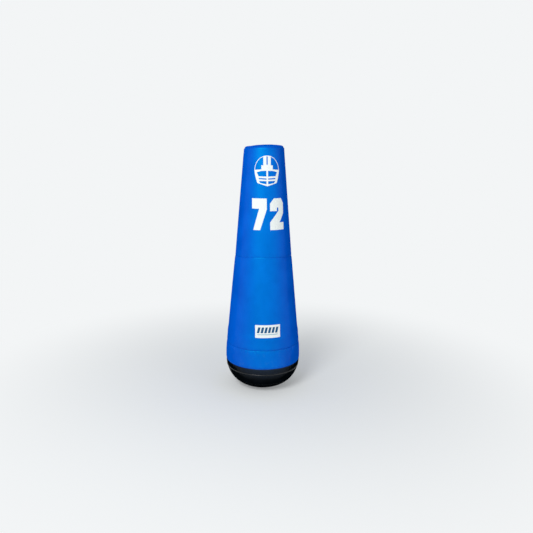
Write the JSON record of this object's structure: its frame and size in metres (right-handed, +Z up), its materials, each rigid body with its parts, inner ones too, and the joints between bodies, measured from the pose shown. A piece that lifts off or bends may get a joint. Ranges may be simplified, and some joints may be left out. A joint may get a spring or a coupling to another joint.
{
  "type": "tackling dummy",
  "caption": "Free-standing inflated tackling dummy: tapered vinyl cover over an air bladder on a round weighted base that rights itself.",
  "frame": {"origin": "centre of the flat foot, on the floor", "axes": "+Z up the dummy; the printed front faces -Y, the zip and the valve are at +Y, +X is to the right seen from the front"},
  "size_m": [0.567, 0.567, 1.829],
  "materials": {
    "blue_vinyl": "satin",
    "black_vinyl": "satin",
    "white_ink": "satin",
    "label_vinyl": "satin",
    "seam_tape": "matte",
    "zip_tape": "matte",
    "zip_coil": "satin",
    "zinc": "satin",
    "hook_fabric": "matte",
    "valve_plastic": "satin",
    "membrane_rubber": "matte",
    "bladder_film": "satin",
    "foam": "matte",
    "tub_plastic": "satin",
    "gasket_rubber": "matte",
    "screw_steel": "satin",
    "concrete": "matte"
  },
  "bodies": {
    "dummy": {"top_cap": "blue_vinyl", "upper_panel": "blue_vinyl", "lower_panel": "blue_vinyl", "skirt_band": "blue_vinyl", "top_seam_tape": "seam_tape", "mid_seam_tape": "seam_tape", "low_seam_tape": "seam_tape", "hem_seam_tape": "seam_tape", "boot_strip": "black_vinyl", "boot_welt": "black_vinyl", "boot_bowl": "black_vinyl", "boot_foot": "black_vinyl", "helmet_print": "white_ink", "number_seven": "white_ink", "number_two": "white_ink", "label_patch": "label_vinyl", "zip_tape_left": "zip_tape", "zip_tape_right": "zip_tape", "zip_coil_left": "zip_coil", "zip_coil_right": "zip_coil", "zip_bottom_stop": "zinc", "zip_top_stop": "zinc", "port_ring": "valve_plastic", "valve_base": "valve_plastic", "valve_seat": "valve_plastic", "cover_loop_strip": "hook_fabric", "bladder": "bladder_film", "foam_pad": "foam", "tub_lid": "tub_plastic", "lid_gasket": "gasket_rubber", "lid_screw_1": "screw_steel", "lid_screw_2": "screw_steel", "lid_screw_3": "screw_steel", "lid_screw_4": "screw_steel", "lid_screw_5": "screw_steel", "lid_screw_6": "screw_steel", "fill_plug": "tub_plastic", "plug_seal": "gasket_rubber", "ballast_fill": "concrete", "ballast_tub": "tub_plastic"},
    "slider": {"zip_slider": "zinc"},
    "pull": {"zip_pull": "zinc"},
    "cap": {"valve_cap": "valve_plastic"},
    "membrane": {"valve_membrane": "membrane_rubber"},
    "flap": {"valve_flap": "blue_vinyl", "flap_hook_strip": "hook_fabric"}
  },
  "joints": [
    {"name": "zip_run", "type": "slide", "parent": "dummy", "child": "slider", "axis": [0, 0.0961, -0.9954], "range_m": [0, 0.434]},
    {"name": "pull_swing", "type": "hinge", "parent": "slider", "child": "pull", "pos_m": [0, 0.21887, 0.96878], "axis": [1, 0, 0], "range_deg": [0, 170]},
    {"name": "cap_turn", "type": "hinge", "parent": "dummy", "child": "cap", "pos_m": [0, 0.19776, 1.18], "axis": [0, 0.9965, 0.0832], "range_deg": [0, 540]},
    {"name": "membrane_swing", "type": "hinge", "parent": "dummy", "child": "membrane", "pos_m": [0, 0.18588, 1.18653], "axis": [-1, 0, 0], "range_deg": [0, 55], "stiffness_Nm_per_rad": 0.0005},
    {"name": "flap_lift", "type": "hinge", "parent": "dummy", "child": "flap", "pos_m": [0, 0.1954, 1.22998], "axis": [1, 0, 0], "range_deg": [0, 150]}
  ]
}
